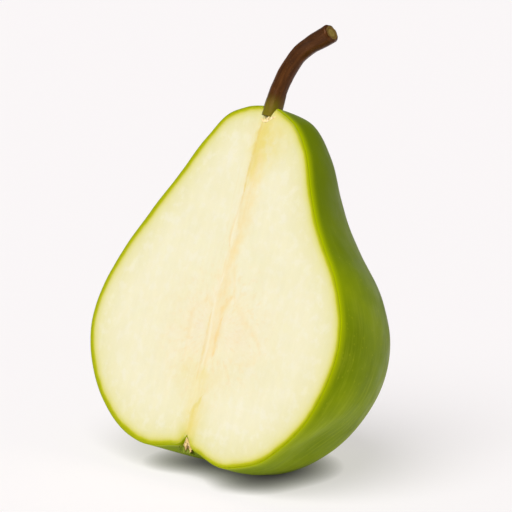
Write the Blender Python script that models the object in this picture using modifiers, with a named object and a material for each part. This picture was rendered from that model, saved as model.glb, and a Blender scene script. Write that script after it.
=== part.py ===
"""Half of a green pear, cut lengthwise just in front of its stem, which is left whole.

The half stands on a small flat spot and leans back, with its cut face towards -Y and +Z up.
Units are metres. The origin is on the table, below the middle of the object's bounding box.
A shape is first made about the pear's own axis, with the calyx at the bottom, the knife's plane
at y = 0 and the kept half behind it at +Y. One empty then leans and places all of them.
"""

from math import cos, exp, radians, sin

import bmesh
import bpy
from mathutils import Matrix, Vector
from mathutils.geometry import interpolate_bezier

MM = 0.001

# Driving dimensions.
WIDTH = 72 * MM  # across the belly
HEIGHT = 75.5 * MM  # from the bottom to the crown, along the axis, without the stem
DEPTH = 40 * MM  # from the cut face to the back of the belly
LEAN = radians(18.4)  # how far the axis leans back
REST_DEPTH = 0.75 * MM  # how much the belly's lowest point is flattened where it rests
STEM_RADIUS = 1.84 * MM
GAP = 0.3 * MM  # clearance between touching pieces

# The outline's landmarks: radius as a share of half the width, height as a share of HEIGHT.
OUTLINE = (
    (0.0, 0.996),  # crown, where the stem stands
    (0.13, 0.993),
    (0.27, 0.972),  # shoulder
    (0.41, 0.896),  # neck
    (0.53, 0.795),  # waist
    (0.72, 0.655),
    (0.885, 0.54),
    (0.98, 0.43),
    (0.995, 0.31),  # belly
    (0.92, 0.2),
    (0.765, 0.1),
    (0.56, 0.034),
    (0.33, 0.011),  # lowest ring
    (0.13, 0.028),
    (0.05, 0.038),  # rim of the calyx basin
    (0.0, 0.067),  # top of the basin
)
OUTLINE_STEPS = 3  # points of the turned outline from one landmark to the next
TURN_STEPS = 64  # facets all the way round the axis
CUTTER_SIZE = 200 * MM
WELD = 0.01 * MM  # points nearer than this become one
SHARP_ANGLE = radians(40)

# Where the fruit grew fuller or slimmer than the turned outline: the direction from its heart,
# how far the surface moves outwards there, and how many degrees around that it fades over.
HEART = (0.0, 0.0, 31 * MM)
SWELLS = (
    ((-1.0, 0.0, -0.2), 0.9 * MM, 20),  # left of the belly
    ((-1.0, 0.0, 0.05), -0.4 * MM, 14),  # left, above the belly
    ((-0.9, 0.0, 0.75), 0.4 * MM, 12),  # left of the waist
    ((-0.35, 0.0, 1.0), -0.7 * MM, 8),  # left of the neck
    ((-0.16, 0.0, 1.0), -0.6 * MM, 8),  # left shoulder
    ((0.22, 0.0, 1.0), -1.3 * MM, 8),  # right shoulder
    ((0.7, 0.0, 0.7), -1.2 * MM, 22),  # right of the waist
    ((1.0, 0.0, -0.3), -0.6 * MM, 12),  # right of the belly
    ((-0.6, 0.0, -0.8), -0.6 * MM, 22),  # left of the base
    ((0.45, 0.0, -0.9), 1.1 * MM, 16),  # right of the base
    ((0.55, 0.0, -1.0), -1.0 * MM, 9),  # lowest on the right
    ((0.3, 0.4, 1.25), 0.8 * MM, 16),  # back of the neck
    ((0.55, 0.45, 0.7), -0.9 * MM, 15),  # back of the waist
    ((0.75, 0.65, -0.3), -1.1 * MM, 20),  # right of the back
    ((0.8, 0.35, -0.7), -2.1 * MM, 14),  # right of the back of the base
    ((0.25, 0.72, -1.0), 1.1 * MM, 26),  # back of the base
    ((0.05, 0.35, -1.0), -0.4 * MM, 12),  # behind the calyx
    ((-0.4, 0.3, -1.0), 0.3 * MM, 15),  # left of the back of the base
)

# The stem's middle line, from its foot in the flesh to the cut tip, and its width at each point.
STEM_POINTS = (
    (0.9 * MM, 2.0 * MM, 73.0 * MM),
    (1.5 * MM, 2.0 * MM, 79.5 * MM),
    (5.1 * MM, 1.9 * MM, 86.9 * MM),
    (12.5 * MM, 1.6 * MM, 92.0 * MM),
)
STEM_FLARE = (1.18, 0.98, 0.97, 1.12)
STEM_STEPS = 6  # points of the middle line from one given point to the next
STEM_FACETS = 4  # facets in a quarter of the stem's round section, less one

# The notch that opens the stem's socket to the front: a cone with its narrow end down.
NOTCH_FOOT = (1.4 * MM, -0.4 * MM, 71.2 * MM)
NOTCH_TOP = (2.4 * MM, -0.4 * MM, 77.5 * MM)
NOTCH_FOOT_RADIUS = 0.7 * MM
NOTCH_TOP_RADIUS = 3.4 * MM
NOTCH_FACETS = 24

# The calyx: a dry hollow cone in the basin, and the sepals round its mouth.
CALYX_RADIUS = 1.35 * MM
CALYX_HEIGHT = 2.5 * MM
CALYX_TOP = 4.5 * MM
CALYX_OUTLINE = (  # share of the radius, share of the height below the top
    (0.0, 0.0),  # point
    (0.35, 0.3),
    (1.0, 1.0),  # edge of the mouth
    (0.65, 0.95),
    (0.0, 0.55),  # top of the hollow
)
SEPAL_LENGTH = 1.7 * MM
SEPAL_WIDTH = 1.9 * MM
SEPAL_THICKNESS = 0.7 * MM
SEPAL_TAPER = 0.7  # how much of the width is lost at the tip
SEPAL_CURL = 0.45  # how far the tip curls outwards, as a share of the length
SEPAL_RING = 1.8 * MM  # distance of the sepals' feet from the axis
SEPAL_FOOT = CALYX_TOP - 0.9 * CALYX_HEIGHT
SEPALS = {"sepal_right": 32, "sepal_middle": 90, "sepal_left": 148}  # degrees from +X

COLOURS = {
    "skin_and_flesh": ((0.20, 0.24, 0.01), 0.42),
    "stem_bark": ((0.10, 0.045, 0.015), 0.6),
    "dry_calyx": ((0.62, 0.42, 0.16), 0.8),
    "sepal_green": ((0.16, 0.19, 0.03), 0.7),
}


def clear_scene():
    for item in list(bpy.data.objects):
        bpy.data.objects.remove(item)


def new_collection(name):
    collection = bpy.data.collections.new(name)
    bpy.context.scene.collection.children.link(collection)
    return collection


def new_material(name):
    colour, roughness = COLOURS[name]
    material = bpy.data.materials.new(name)
    material.use_nodes = True
    shader = material.node_tree.nodes["Principled BSDF"]
    shader.inputs["Base Color"].default_value = (*colour, 1.0)
    shader.inputs["Roughness"].default_value = roughness
    shader.inputs["Metallic"].default_value = 0.0
    return material


def add_object(name, mesh, collection, parent):
    item = bpy.data.objects.new(name, mesh)
    item.parent = parent
    collection.objects.link(item)
    return item


def baked_mesh(item):
    """The evaluated mesh of an object, welded, in place of the object itself."""
    bpy.context.view_layer.update()
    evaluated = item.evaluated_get(bpy.context.evaluated_depsgraph_get())
    mesh = bpy.data.meshes.new_from_object(evaluated)
    bpy.data.objects.remove(item)
    shape = bmesh.new()
    shape.from_mesh(mesh)
    bmesh.ops.remove_doubles(shape, verts=shape.verts, dist=WELD)
    bmesh.ops.recalc_face_normals(shape, faces=shape.faces)
    shape.to_mesh(mesh)
    shape.free()
    return mesh


def heading(before, here, after):
    """The direction of a smooth curve at the middle one of three of its points."""
    first, second = here - before, after - here
    return (first.normalized() * second.length + second.normalized() * first.length) / (
        first.length + second.length
    )


def smooth_curve(points, steps):
    """Points of a smooth curve that passes through all the given points."""
    inner = [heading(*trio) for trio in zip(points, points[1:], points[2:])]
    first = (points[1] - points[0]).normalized()
    last = (points[-1] - points[-2]).normalized()
    headings = [first, *inner, last]
    curve = []
    for start, end, leaving, arriving in zip(points, points[1:], headings, headings[1:]):
        reach = (end - start).length / 3
        handles = (start + leaving * reach, end - arriving * reach)
        curve += interpolate_bezier(start, *handles, end, steps + 1)[:-1]
    return [*curve, points[-1]]


def turned_mesh(name, outline, collection):
    """A solid turned about Z from an outline that runs from its top to its bottom."""
    mesh = bpy.data.meshes.new(name)
    edges = [(index, index + 1) for index in range(len(outline) - 1)]
    mesh.from_pydata(outline, edges, [])
    item = add_object(name, mesh, collection, None)
    screw = item.modifiers.new("Turn", "SCREW")
    screw.steps = TURN_STEPS
    screw.render_steps = TURN_STEPS
    screw.use_merge_vertices = True
    screw.merge_threshold = WELD
    return baked_mesh(item)


def subtract(item, cutter):
    cut = item.modifiers.new("Cut " + cutter.name, "BOOLEAN")
    cut.operation = "DIFFERENCE"
    cut.solver = "EXACT"
    cut.object = cutter


def block(name, centre, collection, parent):
    """A cubic cutter."""
    bpy.ops.mesh.primitive_cube_add(size=CUTTER_SIZE, location=centre)
    item = bpy.context.object
    item.name = name
    for home in list(item.users_collection):
        home.objects.unlink(item)
    collection.objects.link(item)
    item.parent = parent
    return item


def hide_cutters(cutters):
    for item in cutters.objects:
        item.hide_render = True
        item.display_type = "WIRE"


def grown(point):
    """A point of the turned outline, moved to where it is on the fruit as it grew."""
    placed = Vector((point.x, point.y * DEPTH / (WIDTH / 2), point.z))
    outwards = (placed - Vector(HEART)).normalized()
    for direction, amount, spread in SWELLS:
        away = outwards.angle(Vector(direction)) / radians(spread)
        placed += outwards * amount * exp(-(away**2))
    return placed


def pear_mesh(collection):
    """The whole fruit: turned, then deepened at the back and swollen unevenly."""
    landmarks = [Vector((radius * WIDTH / 2, 0.0, height * HEIGHT)) for radius, height in OUTLINE]
    mesh = turned_mesh("pear_outline", smooth_curve(landmarks, OUTLINE_STEPS), collection)
    for vertex in mesh.vertices:
        vertex.co = grown(vertex.co)
    return mesh


def stem_mesh(name, extra, collection):
    """The stem's tube, thicker all round and longer at its foot by `extra`."""
    line = bpy.data.curves.new(name, "CURVE")
    line.dimensions = "3D"
    line.bevel_depth = STEM_RADIUS + extra
    line.bevel_resolution = STEM_FACETS
    line.use_fill_caps = True
    spline = line.splines.new("POLY")
    points = [Vector(point) for point in STEM_POINTS]
    points[0] = points[0] - Vector((0, 0, extra))
    path = smooth_curve(points, STEM_STEPS)
    spline.points.add(len(path) - 1)
    spans = len(STEM_FLARE) - 1
    for index, (point, place) in enumerate(zip(spline.points, path)):
        along = spans * index / (len(path) - 1)
        span = min(int(along), spans - 1)
        share = along - span
        point.co = (*place, 1.0)
        point.radius = STEM_FLARE[span] * (1 - share) + STEM_FLARE[span + 1] * share
    return baked_mesh(add_object(name, line, collection, None))


def notch_mesh(name):
    """The cone that opens the stem's socket to the front."""
    foot, top = Vector(NOTCH_FOOT), Vector(NOTCH_TOP)
    shape = bmesh.new()
    bmesh.ops.create_cone(
        shape,
        cap_ends=True,
        segments=NOTCH_FACETS,
        radius1=NOTCH_FOOT_RADIUS,
        radius2=NOTCH_TOP_RADIUS,
        depth=(top - foot).length,
    )
    turn = (top - foot).to_track_quat("Z", "Y").to_matrix().to_4x4()
    shape.transform(Matrix.Translation((foot + top) / 2) @ turn)
    mesh = bpy.data.meshes.new(name)
    shape.to_mesh(mesh)
    shape.free()
    return mesh


def calyx_mesh(collection):
    """A hollow cone with its point up, which the knife cuts in two."""
    outline = [
        (radius * CALYX_RADIUS, 0.0, CALYX_TOP - depth * CALYX_HEIGHT) for radius, depth in CALYX_OUTLINE
    ]
    return turned_mesh("calyx_outline", outline, collection)


def sepal_mesh(name, degrees):
    """A small curled leaf that hangs from the rim of the basin."""
    shape = bmesh.new()
    bmesh.ops.create_cube(shape, size=1.0)
    bmesh.ops.subdivide_edges(shape, edges=shape.edges, cuts=1, use_grid_fill=True)
    for vertex in shape.verts:
        along = 0.5 - vertex.co.z
        taper = 1.0 - SEPAL_TAPER * along
        vertex.co.x *= SEPAL_WIDTH * taper
        vertex.co.y = vertex.co.y * SEPAL_THICKNESS * taper + SEPAL_CURL * SEPAL_LENGTH * along**2
        vertex.co.z = -along * SEPAL_LENGTH
    outwards = Matrix.Rotation(radians(degrees - 90), 4, "Z")
    angle = radians(degrees)
    foot = Vector((SEPAL_RING * cos(angle), SEPAL_RING * sin(angle), SEPAL_FOOT))
    shape.transform(Matrix.Translation(foot) @ outwards)
    mesh = bpy.data.meshes.new(name)
    shape.to_mesh(mesh)
    shape.free()
    return mesh


def finish_piece(item, material_name):
    item.data.materials.clear()
    item.data.materials.append(new_material(material_name))
    item.data.shade_smooth()
    item.data.set_sharp_from_angle(angle=SHARP_ANGLE)


def corners(items):
    """The lowest and highest corner of the box round the given objects, as they evaluate."""
    bpy.context.view_layer.update()
    graph = bpy.context.evaluated_depsgraph_get()
    points = []
    for item in items:
        evaluated = item.evaluated_get(graph)
        points += [evaluated.matrix_world @ vertex.co for vertex in evaluated.data.vertices]
    low = Vector([min(point[axis] for point in points) for axis in range(3)])
    high = Vector([max(point[axis] for point in points) for axis in range(3)])
    return low, high


def build():
    clear_scene()
    pieces = new_collection("halved_pear")
    cutters = new_collection("cutters")
    lean = bpy.data.objects.new("lean", None)
    pieces.objects.link(lean)
    lean.rotation_euler.x = -LEAN

    pear = add_object("pear_half", pear_mesh(pieces), pieces, lean)
    lean.location.z = -corners([pear])[0].z - REST_DEPTH
    knife = block("knife", (0, -CUTTER_SIZE / 2, HEIGHT / 2), cutters, lean)
    subtract(pear, knife)
    subtract(pear, block("table", (0, 0, -CUTTER_SIZE / 2), cutters, None))
    subtract(pear, add_object("stem_socket", stem_mesh("stem_socket", GAP, cutters), cutters, lean))
    subtract(pear, add_object("stem_notch", notch_mesh("stem_notch"), cutters, lean))
    finish_piece(pear, "skin_and_flesh")

    stem = add_object("stem", stem_mesh("stem", 0.0, pieces), pieces, lean)
    finish_piece(stem, "stem_bark")

    calyx = add_object("calyx", calyx_mesh(pieces), pieces, lean)
    subtract(calyx, knife)
    finish_piece(calyx, "dry_calyx")

    for name, degrees in SEPALS.items():
        sepal = add_object(name, sepal_mesh(name, degrees), pieces, lean)
        rounding = sepal.modifiers.new("Rounding", "SUBSURF")
        rounding.levels = 1
        rounding.render_levels = 1
        finish_piece(sepal, "sepal_green")

    hide_cutters(cutters)
    low, high = corners([item for item in pieces.objects if item.type == "MESH"])
    lean.location.x -= (low.x + high.x) / 2
    lean.location.y -= (low.y + high.y) / 2


build()
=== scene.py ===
"""How the halved pear looks: fine skin and flesh, a barked stem, a dry calyx and its sepals.

Every fine piece is made about the pear's own axis, in metres, with the knife's plane at y = 0, and
one matrix then leans it back into the place that the frame gives it.
"""

from math import cos, pi, radians, sin

import bmesh
import bpy
import numpy as np
from mathutils import Matrix, Vector, noise


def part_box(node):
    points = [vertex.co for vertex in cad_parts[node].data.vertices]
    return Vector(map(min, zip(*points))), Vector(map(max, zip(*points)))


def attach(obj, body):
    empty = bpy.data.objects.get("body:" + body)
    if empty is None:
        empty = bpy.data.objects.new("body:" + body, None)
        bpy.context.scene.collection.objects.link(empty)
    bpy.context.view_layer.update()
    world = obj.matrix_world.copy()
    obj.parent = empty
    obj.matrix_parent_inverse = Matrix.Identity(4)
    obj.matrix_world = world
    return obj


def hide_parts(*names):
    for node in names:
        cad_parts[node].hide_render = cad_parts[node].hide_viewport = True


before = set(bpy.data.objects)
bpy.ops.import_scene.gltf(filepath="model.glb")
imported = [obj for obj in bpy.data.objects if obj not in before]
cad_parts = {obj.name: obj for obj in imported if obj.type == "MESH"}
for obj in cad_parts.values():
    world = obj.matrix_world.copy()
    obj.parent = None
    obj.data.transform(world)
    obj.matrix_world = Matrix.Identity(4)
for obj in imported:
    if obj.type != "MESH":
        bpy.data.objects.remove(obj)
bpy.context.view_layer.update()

MM = 0.001

# Driving dimensions, the same as the frame's.
WIDTH = 72 * MM
HEIGHT = 75.5 * MM
DEPTH = 40 * MM
LEAN = radians(18.4)
REST_DEPTH = 0.75 * MM
STEM_RADIUS = 1.84 * MM

SOCKET_GAP = 0.05 * MM  # air round the stem's foot, less than in the frame, so that no dark ring shows

# The outline's landmarks: radius as a share of half the width, height as a share of HEIGHT.
OUTLINE = (
    (0.0, 0.996),
    (0.13, 0.993),
    (0.27, 0.972),
    (0.41, 0.896),
    (0.53, 0.795),
    (0.72, 0.655),
    (0.885, 0.54),
    (0.98, 0.43),
    (0.995, 0.31),
    (0.92, 0.2),
    (0.765, 0.1),
    (0.56, 0.034),
    (0.33, 0.011),
    (0.13, 0.028),
    (0.05, 0.038),
    (0.0, 0.067),
)

# Where the fruit grew fuller or slimmer: direction from its heart, amount, and spread in degrees.
HEART = (0.0, 0.0, 31 * MM)
SWELLS = (
    ((-1.0, 0.0, -0.2), 0.9 * MM, 20),  # left of the belly
    ((-1.0, 0.0, 0.05), -0.4 * MM, 14),  # left, above the belly
    ((-0.9, 0.0, 0.75), 0.4 * MM, 12),  # left of the waist
    ((-0.35, 0.0, 1.0), -0.7 * MM, 8),  # left of the neck
    ((-0.16, 0.0, 1.0), -0.6 * MM, 8),  # left shoulder
    ((0.22, 0.0, 1.0), -1.3 * MM, 8),  # right shoulder
    ((0.7, 0.0, 0.7), -1.2 * MM, 22),  # right of the waist
    ((1.0, 0.0, -0.3), -0.6 * MM, 12),  # right of the belly
    ((-0.6, 0.0, -0.8), -0.6 * MM, 22),  # left of the base
    ((0.45, 0.0, -0.9), 1.1 * MM, 16),  # right of the base
    ((0.55, 0.0, -1.0), -1.0 * MM, 9),  # lowest on the right
    ((0.3, 0.4, 1.25), 0.8 * MM, 16),  # back of the neck
    ((0.55, 0.45, 0.7), -0.9 * MM, 15),  # back of the waist
    ((0.75, 0.65, -0.3), -1.1 * MM, 20),  # right of the back
    ((0.8, 0.35, -0.7), -2.1 * MM, 14),  # right of the back of the base
    ((0.25, 0.72, -1.0), 1.1 * MM, 26),  # back of the base
    ((0.05, 0.35, -1.0), -0.4 * MM, 12),  # behind the calyx
    ((-0.4, 0.3, -1.0), 0.3 * MM, 15),  # left of the back of the base
)

# The stem's middle line, from its foot in the flesh to the cut tip, and its width at each point.
STEM_POINTS = (
    (0.9 * MM, 2.0 * MM, 73.0 * MM),
    (1.5 * MM, 2.0 * MM, 79.5 * MM),
    (5.1 * MM, 1.9 * MM, 86.9 * MM),
    (12.6 * MM, 1.6 * MM, 91.6 * MM),
)
STEM_FLARE = (1.18, 0.98, 0.97, 1.12)
# Rings of the cut tip: share of the stem's radius, and mm ahead of the end. The first ones are bark.
STEM_TIP = ((0.95, 0.2), (0.86, 0.36), (0.76, 0.42), (0.6, 0.36), (0.4, 0.3), (0.18, 0.34))
STEM_TIP_BARK = 2
STEM_PITH_AHEAD = 0.33 * MM  # how far the middle of the tip is ahead of the end
STEM_STEPS = 40  # points along the stem from one landmark to the next
STEM_AROUND = 56

# The notch in front of the stem's foot: a cone with its narrow end down.
NOTCH_FOOT = (1.4 * MM, -0.4 * MM, 71.2 * MM)
NOTCH_TOP = (2.4 * MM, -0.4 * MM, 77.5 * MM)
NOTCH_FOOT_RADIUS = 0.3 * MM
NOTCH_TOP_RADIUS = 3.4 * MM

# Fineness of the meshes.
SPAN_STEPS = 22  # rows of skin from one landmark to the next
SKIN_COLUMNS = 120  # columns of skin from the right rim, round the back, to the left rim
FLESH_RINGS = 88  # rings of the cut face, from its rim to the heart
RIM_ROUND = 0.28 * MM  # rounding where the skin meets the cut face

# The calyx and its sepals.
CALYX_RADIUS = 1.15 * MM
CALYX_HEIGHT = 2.2 * MM
CALYX_TOP = 4.55 * MM
CALYX_ASIDE = 0.15 * MM  # how far its point is to the right of the axis
CALYX_LEAN = 0.4  # how far its mouth is further to the right, as a share of its height
CALYX_PROUD = 0.12 * MM  # how far its cut section stands out of the cut face
CALYX_HOLLOW = 0.62  # width of the hollow at the mouth, as a share of the calyx
CALYX_HOLLOW_START = 0.5  # how far down the hollow starts, as a share of its height
CALYX_POINT = 0.12 * MM  # how far its point is above its first ring
CALYX_ROWS = 22
CALYX_AROUND = 41
SEPAL_WIDTH = 1.9 * MM
SEPAL_THICKNESS = 0.7 * MM
SEPAL_TAPER = 0.72  # how much narrower its tip is than its foot, as a share of its width
SEPAL_RIB = 0.1 * MM  # how far the midrib is raised
SEPAL_FOLD = 0.04 * MM  # depth of the small folds beside it
SEPAL_CUP = 0.22 * MM  # how far the edges bend back
SEPAL_RING = 1.2 * MM  # how far the feet are from the axis
SEPAL_ASIDE = 0.25 * MM
SEPAL_FOOT = 2.5 * MM
SEPAL_ALONG = 30
SEPAL_ACROSS = 13
SEPALS = (  # the frame's node, degrees from +X, length, how far the tip rolls up in radians
    ("sepal_right", 38, 1.7 * MM, 2.4),
    ("sepal_middle", 92, 2.4 * MM, 4.2),
    ("sepal_left", 158, 1.5 * MM, 1.6),
)

# The torn flesh before the stem's foot: its lower edge as (across, up) in mm, and its thickness.
TORN_FOOT = ((0.3, 72.2), (0.9, 71.6), (1.7, 71.5), (2.7, 72.0), (4.4, 72.9))
TORN_THICKNESS = 0.32 * MM
TORN_ACROSS = 26
TORN_UP = 9

# Fine lines of the core: landmarks as (across, up) in mm, width in mm, colour and strength.
CORE_LINES = (
    # Wide bands of warmer flesh along the axis.
    (((4.0, 73.0), (3.6, 68.0), (2.6, 60.0)), 4.4, (243, 228, 142), 0.6),
    (((2.2, 73.0), (1.9, 68.0), (1.8, 62.5)), 2.0, (239, 222, 122), 0.8),
    (((2.1, 65.0), (2.2, 57.0), (2.0, 50.0), (1.2, 43.0)), 2.3, (249, 230, 170), 0.75),
    (((1.3, 46.0), (0.9, 40.0), (0.8, 34.0), (0.8, 28.0), (0.5, 20.0)), 2.2, (251, 229, 172), 0.6),
    (((0.6, 19.0), (0.7, 13.0), (0.5, 8.0), (0.2, 4.5)), 2.2, (246, 230, 158), 0.65),
    # The vessels that run down from the stem.
    (((0.9, 71.5), (0.6, 68.7), (0.5, 64.8), (0.1, 60.8), (0.2, 56.6)), 0.5, (238, 208, 100), 0.6),
    (((1.9, 71.3), (1.5, 67.5), (1.3, 62.5), (0.8, 58.0)), 0.9, (241, 222, 128), 0.6),
    (((0.2, 57.4), (0.0, 53.0), (-0.5, 50.5), (-0.7, 47.9), (-0.4, 44.8)), 0.4, (246, 222, 156), 0.55),
    (((0.0, 53.3), (-0.2, 49.0), (-0.3, 45.2)), 0.35, (255, 250, 226), 0.45),
    (((0.5, 49.9), (0.3, 47.0), (0.2, 44.6)), 0.35, (255, 250, 226), 0.4),
    (((-0.1, 39.1), (-0.9, 33.0), (0.0, 24.0), (-0.2, 19.9)), 0.4, (255, 249, 226), 0.45),
    (((-1.0, 37.4), (-1.7, 33.8)), 0.4, (255, 248, 224), 0.4),
    (((-0.5, 16.5), (-0.1, 13.4), (-0.9, 9.7)), 0.4, (253, 246, 206), 0.4),
    (((-1.1, 30.8), (-1.1, 27.4), (-0.9, 21.7), (-1.0, 16.8)), 0.4, (246, 221, 150), 0.55),
    (((1.7, 43.1), (3.7, 37.2), (4.5, 34.6)), 0.45, (249, 230, 172), 0.45),
    (((1.5, 13.0), (0.3, 10.3), (0.4, 7.2), (0.0, 4.6)), 0.9, (238, 220, 116), 0.65),
    # The slit in the middle of the core.
    (((2.2, 29.8), (1.9, 27.7), (1.8, 26.4), (2.0, 24.0), (2.0, 21.9)), 0.6, (249, 219, 150), 0.75),
    # The walls of the left carpel, then of the right one.
    (((-2.1, 34.0), (-3.7, 32.9), (-5.6, 31.7), (-6.6, 30.0), (-6.3, 26.0), (-6.0, 20.9)), 0.8,
     (249, 228, 172), 0.4),
    (((-2.3, 32.8), (-1.0, 32.0)), 0.5, (249, 229, 170), 0.4),
    (((1.7, 29.7), (1.8, 31.2), (2.3, 32.6), (3.0, 33.9), (3.7, 34.6)), 0.8, (249, 222, 154), 0.55),
    (((3.4, 34.7), (4.6, 34.5), (6.4, 32.5), (8.9, 30.2), (11.7, 28.3), (13.8, 26.8), (15.1, 24.4)), 0.9,
     (249, 229, 174), 0.35),
    (((15.1, 24.8), (13.2, 22.3), (9.4, 21.4)), 0.9, (250, 231, 178), 0.3),
)


def unit(vectors):
    return vectors / np.linalg.norm(vectors, axis=-1, keepdims=True)


def smooth_curve(points, steps):
    """Points of a smooth curve that passes through all the given points."""
    points = np.asarray(points, float)
    gaps = np.diff(points, axis=0)
    lengths = np.linalg.norm(gaps, axis=1)[:, None]
    ways = gaps / lengths
    inner = (ways[:-1] * lengths[1:] + ways[1:] * lengths[:-1]) / (lengths[:-1] + lengths[1:])
    headings = np.vstack([ways[:1], inner, ways[-1:]])
    curve = []
    for k in range(len(gaps)):
        leaving = points[k] + headings[k] * lengths[k] / 3
        arriving = points[k + 1] - headings[k + 1] * lengths[k] / 3
        for t in np.arange(steps) / steps:
            near = (1 - t) ** 3 * points[k] + 3 * t * (1 - t) ** 2 * leaving
            curve.append(near + 3 * t**2 * (1 - t) * arriving + t**3 * points[k + 1])
    return np.array([*curve, points[-1]])


def grown(points):
    """Points of the turned outline, moved to where they are on the fruit as it grew."""
    moved = points * (1.0, DEPTH / (WIDTH / 2), 1.0)
    outwards = unit(moved - HEART)
    for direction, amount, spread in SWELLS:
        turn = np.arccos(np.clip(outwards @ unit(np.array(direction)), -1, 1))
        moved = moved + outwards * (amount * np.exp(-((turn / radians(spread)) ** 2)))[..., None]
    return moved


def uneven(points, scale, seed):
    """Smooth noise from -1 to 1 at each point. The scale is in bumps per metre."""
    flat = points.reshape(-1, 3) * scale + seed
    values = np.array([noise.noise(Vector(point)) for point in flat])
    return values.reshape(points.shape[:-1])


def find_place(points):
    """The matrix that leans a shape back and puts the body in its box."""
    turn = Matrix.Rotation(-LEAN, 4, "X")
    turned = points.reshape(-1, 3) @ np.array(turn.to_3x3()).T
    low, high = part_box("pear_half")
    shift = (
        (low.x + high.x) / 2 - (turned[:, 0].min() + turned[:, 0].max()) / 2,
        high.y - turned[:, 1].max(),
        low.z - turned[:, 2].min() - REST_DEPTH,
    )
    return Matrix.Translation(shift) @ turn


def placed(points):
    """Points about the pear's axis, moved to where they are in the world."""
    matrix = np.array(place)
    return points @ matrix[:3, :3].T + matrix[:3, 3]


def brought_back(points):
    """Points in the world, moved to where they are about the pear's own axis."""
    matrix = np.array(place)
    return (points - matrix[:3, 3]) @ matrix[:3, :3]


def new_mesh(name, points, faces, materials):
    mesh = bpy.data.meshes.new(name)
    mesh.from_pydata(placed(np.asarray(points, float)).tolist(), [], faces)
    mesh.validate()
    for material in materials:
        mesh.materials.append(material)
    mesh.shade_smooth()
    return mesh


def new_piece(name, mesh, node_names):
    """An object in the pear's body, which stands for the named frame nodes."""
    piece = bpy.data.objects.new(name, mesh)
    bpy.context.scene.collection.objects.link(piece)
    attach(piece, "root")
    if node_names:
        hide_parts(*node_names)
    return piece


def carved(name, mesh, cutters):
    """The mesh with every cutter's shape taken out of it."""
    item = bpy.data.objects.new(name, mesh)
    bpy.context.scene.collection.objects.link(item)
    tools = []
    for cutter in cutters:
        tool = bpy.data.objects.new(cutter.name, cutter)
        bpy.context.scene.collection.objects.link(tool)
        cut = item.modifiers.new(cutter.name, "BOOLEAN")
        cut.operation = "DIFFERENCE"
        cut.solver = "EXACT"
        cut.object = tool
        tools.append(tool)
    bpy.context.view_layer.update()
    evaluated = item.evaluated_get(bpy.context.evaluated_depsgraph_get())
    result = bpy.data.meshes.new_from_object(evaluated)
    for helper in (item, *tools):
        bpy.data.objects.remove(helper)
    return result


def pear_points(mesh):
    """The mesh's points, about the pear's own axis."""
    points = np.empty(len(mesh.vertices) * 3)
    mesh.vertices.foreach_get("co", points)
    return brought_back(points.reshape(-1, 3))


def grid_faces(rows, columns, first=0, closed=False):
    """The quads of a grid of points in rows. A closed grid joins its last column to its first."""
    faces = []
    for row in range(rows - 1):
        for column in range(columns if closed else columns - 1):
            here = first + row * columns + column
            beside = first + row * columns + (column + 1) % columns
            faces.append((here, here + columns, beside + columns, beside))
    return faces


def write_attribute(mesh, name, values):
    attribute = mesh.attributes.new(name, "FLOAT", "POINT")
    attribute.data.foreach_set("value", np.asarray(values, np.float32))


# Shapes of the fruit.


def skin_grid():
    """Points of the skin, in rows from the crown to the calyx and columns round the back."""
    outline = smooth_curve(np.array(OUTLINE) * (WIDTH / 2, HEIGHT), SPAN_STEPS)
    radius, height = outline[:, :1], outline[:, 1:]
    turns = np.tile(np.linspace(0, pi, SKIN_COLUMNS + 1), (len(outline), 1))
    # The columns nearest the cut face are close together, for the rounding of the rim.
    for column, behind in enumerate((0.0, 0.2, 0.5, 1.0)):
        near = np.minimum(behind * RIM_ROUND / np.maximum(radius[:, 0], MM), turns[:, 4])
        turns[:, column] = near
        turns[:, -1 - column] = pi - near
    points = np.stack([radius * np.cos(turns), radius * np.sin(turns), height + 0 * turns], -1)
    return grown(points)


def roughened(points):
    """The skin with the faint lumps and dimples of a real fruit."""
    lumps = 0.16 * uneven(points, 70, 3.0) + 0.05 * uneven(points, 260, 8.0)
    ends = np.clip(np.linalg.norm(points[..., :2], axis=-1) / (4 * MM), 0, 1)
    shift = unit(points - HEART) * (lumps * ends * MM)[..., None]
    shift[..., 1] *= np.clip(points[..., 1] / (2 * MM), 0, 1)
    return points + shift


def round_rim(points):
    """Pulls the skin in where it comes within RIM_ROUND of the cut face."""
    near = np.clip(1 - points[..., 1] / RIM_ROUND, 0, 1)
    pull = RIM_ROUND * (1 - np.sqrt(1 - near**2))
    inwards = unit(HEART - points) * (1.0, 0.0, 1.0)
    return points + inwards * (pull * 0.8)[..., None]


def rest_flat(points):
    """Presses points that would be below the table up to it."""
    world = placed(points)
    world[..., 2] = np.maximum(world[..., 2], 0.0)
    return brought_back(world)


def rim_of(skin):
    """The cut face's rim: from the crown down its right side, then up its left side."""
    return np.vstack([skin[:1, 0], skin[1:-1, 0], skin[-1:, 0], skin[-2:0:-1, -1]])


def distance_to_loop(points, loop):
    """How far each point of the cut face is from the nearest stretch of the closed loop."""
    along = np.roll(loop, -1, axis=0) - loop
    length = np.maximum((along**2).sum(-1), 1e-18)
    nearest = np.full(len(points), np.inf)
    for first, step, size in zip(loop, along, length):
        offset = points - first
        share = np.clip(offset @ step / size, 0, 1)[:, None]
        nearest = np.minimum(nearest, ((offset - share * step) ** 2).sum(-1))
    return np.sqrt(nearest)


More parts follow.
